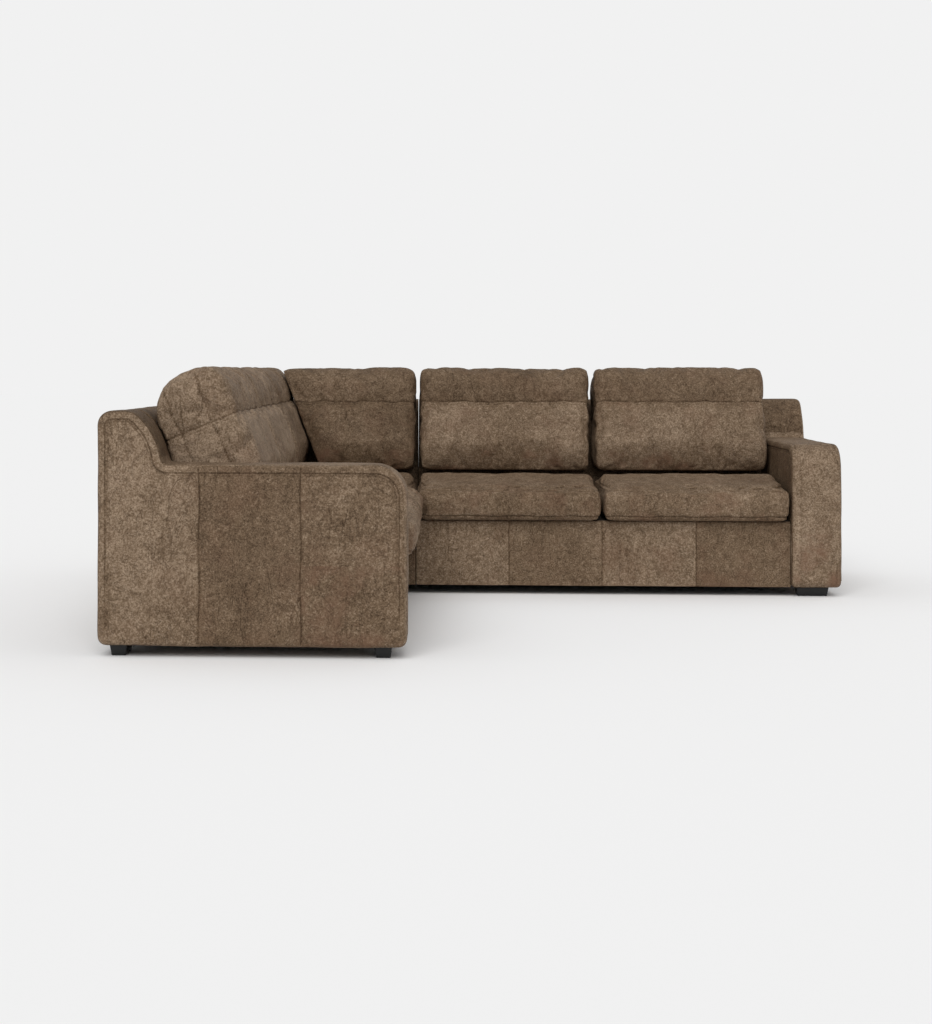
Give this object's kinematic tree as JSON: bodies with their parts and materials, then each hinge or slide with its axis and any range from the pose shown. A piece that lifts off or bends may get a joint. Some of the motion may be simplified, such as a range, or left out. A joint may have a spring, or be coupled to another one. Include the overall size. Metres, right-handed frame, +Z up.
{
  "type": "corner sofa",
  "caption": "Corner sofa in mottled brown leather, two equal runs meeting at a right angle, with loose seat and back cushions, square arms and black block feet.",
  "frame": {"origin": "under the middle of the square that the sofa fills, on the floor", "axes": "+Z up; +X along the back run from the corner to its arm; +Y from the seats to the back run's back. The left run lies along -Y."},
  "size_m": [2.65, 2.65, 0.911],
  "materials": {
    "leather": "mottled, matt to satin, patched from several hides",
    "foam": "foam with fibre wrap",
    "wood": "sawn pine and plywood, unfinished",
    "webbing": "elastic webbing",
    "deck_cloth": "padded deck cloth",
    "dust_cloth": "black non-woven cloth",
    "feet": "black lacquered wood",
    "steel": "zinc plated"
  },
  "bodies": {
    "sofa": {"right_arm_cover": "leather", "right_arm_padding": "foam", "right_arm_frame": "wood", "right_back_cover": "leather", "right_back_padding": "foam", "right_back_frame": "wood", "right_back_webbing": "webbing", "right_seat_front_cover": "leather", "right_seat_frame": "wood", "right_seat_webbing": "webbing", "right_seat_deck": "deck_cloth", "right_dust_cover": "dust_cloth", "right_feet": "feet", "left_arm_cover": "leather", "left_arm_padding": "foam", "left_arm_frame": "wood", "left_back_cover": "leather", "left_back_padding": "foam", "left_back_frame": "wood", "left_back_webbing": "webbing", "left_seat_front_cover": "leather", "left_seat_frame": "wood", "left_seat_webbing": "webbing", "left_seat_deck": "deck_cloth", "left_dust_cover": "dust_cloth", "left_feet": "feet", "corner_back_cover": "leather", "corner_back_padding": "foam", "corner_back_frame": "wood", "corner_seat_frame": "wood", "corner_front_cover": "leather", "corner_back_webbing": "webbing", "corner_seat_webbing": "webbing", "corner_seat_deck": "deck_cloth", "corner_dust_cover": "dust_cloth", "corner_feet": "feet", "connector_hooks": "steel", "connector_catches": "steel"},
    "right_inner_seat_cushion": {"right_inner_seat_cushion": "leather", "right_inner_seat_core": "foam"},
    "right_inner_back_cushion": {"right_inner_back_cushion": "leather", "right_inner_back_core": "foam"},
    "right_outer_seat_cushion": {"right_outer_seat_cushion": "leather", "right_outer_seat_core": "foam"},
    "right_outer_back_cushion": {"right_outer_back_cushion": "leather", "right_outer_back_core": "foam"},
    "left_inner_seat_cushion": {"left_inner_seat_cushion": "leather", "left_inner_seat_core": "foam"},
    "left_inner_back_cushion": {"left_inner_back_cushion": "leather", "left_inner_back_core": "foam"},
    "left_outer_seat_cushion": {"left_outer_seat_cushion": "leather", "left_outer_seat_core": "foam"},
    "left_outer_back_cushion": {"left_outer_back_cushion": "leather", "left_outer_back_core": "foam"},
    "corner_seat_cushion": {"corner_seat_cushion": "leather", "corner_seat_core": "foam"},
    "corner_left_back_cushion": {"corner_left_back_cushion": "leather", "corner_left_back_core": "foam"},
    "corner_back_cushion": {"corner_back_cushion": "leather", "corner_back_core": "foam"}
  },
  "joints": [
    {"name": "lift_right_inner_seat", "type": "slide", "parent": "sofa", "child": "right_inner_seat_cushion", "axis": [0, 0, 1], "range_m": [0, 0.35]},
    {"name": "lift_right_inner_back", "type": "slide", "parent": "right_inner_seat_cushion", "child": "right_inner_back_cushion", "axis": [0, 0.3827, 0.9239], "range_m": [0, 0.36]},
    {"name": "lift_right_outer_seat", "type": "slide", "parent": "sofa", "child": "right_outer_seat_cushion", "axis": [0, 0, 1], "range_m": [0, 0.35]},
    {"name": "lift_right_outer_back", "type": "slide", "parent": "right_outer_seat_cushion", "child": "right_outer_back_cushion", "axis": [0, 0.3827, 0.9239], "range_m": [0, 0.36]},
    {"name": "lift_left_inner_seat", "type": "slide", "parent": "sofa", "child": "left_inner_seat_cushion", "axis": [0, 0, 1], "range_m": [0, 0.35]},
    {"name": "lift_left_inner_back", "type": "slide", "parent": "left_inner_seat_cushion", "child": "left_inner_back_cushion", "axis": [-0.3827, 0, 0.9239], "range_m": [0, 0.36]},
    {"name": "lift_left_outer_seat", "type": "slide", "parent": "sofa", "child": "left_outer_seat_cushion", "axis": [0, 0, 1], "range_m": [0, 0.35]},
    {"name": "lift_left_outer_back", "type": "slide", "parent": "left_outer_seat_cushion", "child": "left_outer_back_cushion", "axis": [-0.3827, 0, 0.9239], "range_m": [0, 0.36]},
    {"name": "lift_corner_seat", "type": "slide", "parent": "sofa", "child": "corner_seat_cushion", "axis": [0, 0, 1], "range_m": [0, 0.35]},
    {"name": "lift_corner_left_back", "type": "slide", "parent": "corner_seat_cushion", "child": "corner_left_back_cushion", "axis": [-0.3827, 0, 0.9239], "range_m": [0, 0.36]},
    {"name": "lift_corner_back", "type": "slide", "parent": "corner_seat_cushion", "child": "corner_back_cushion", "axis": [0, 0.3827, 0.9239], "range_m": [0, 0.36]}
  ]
}
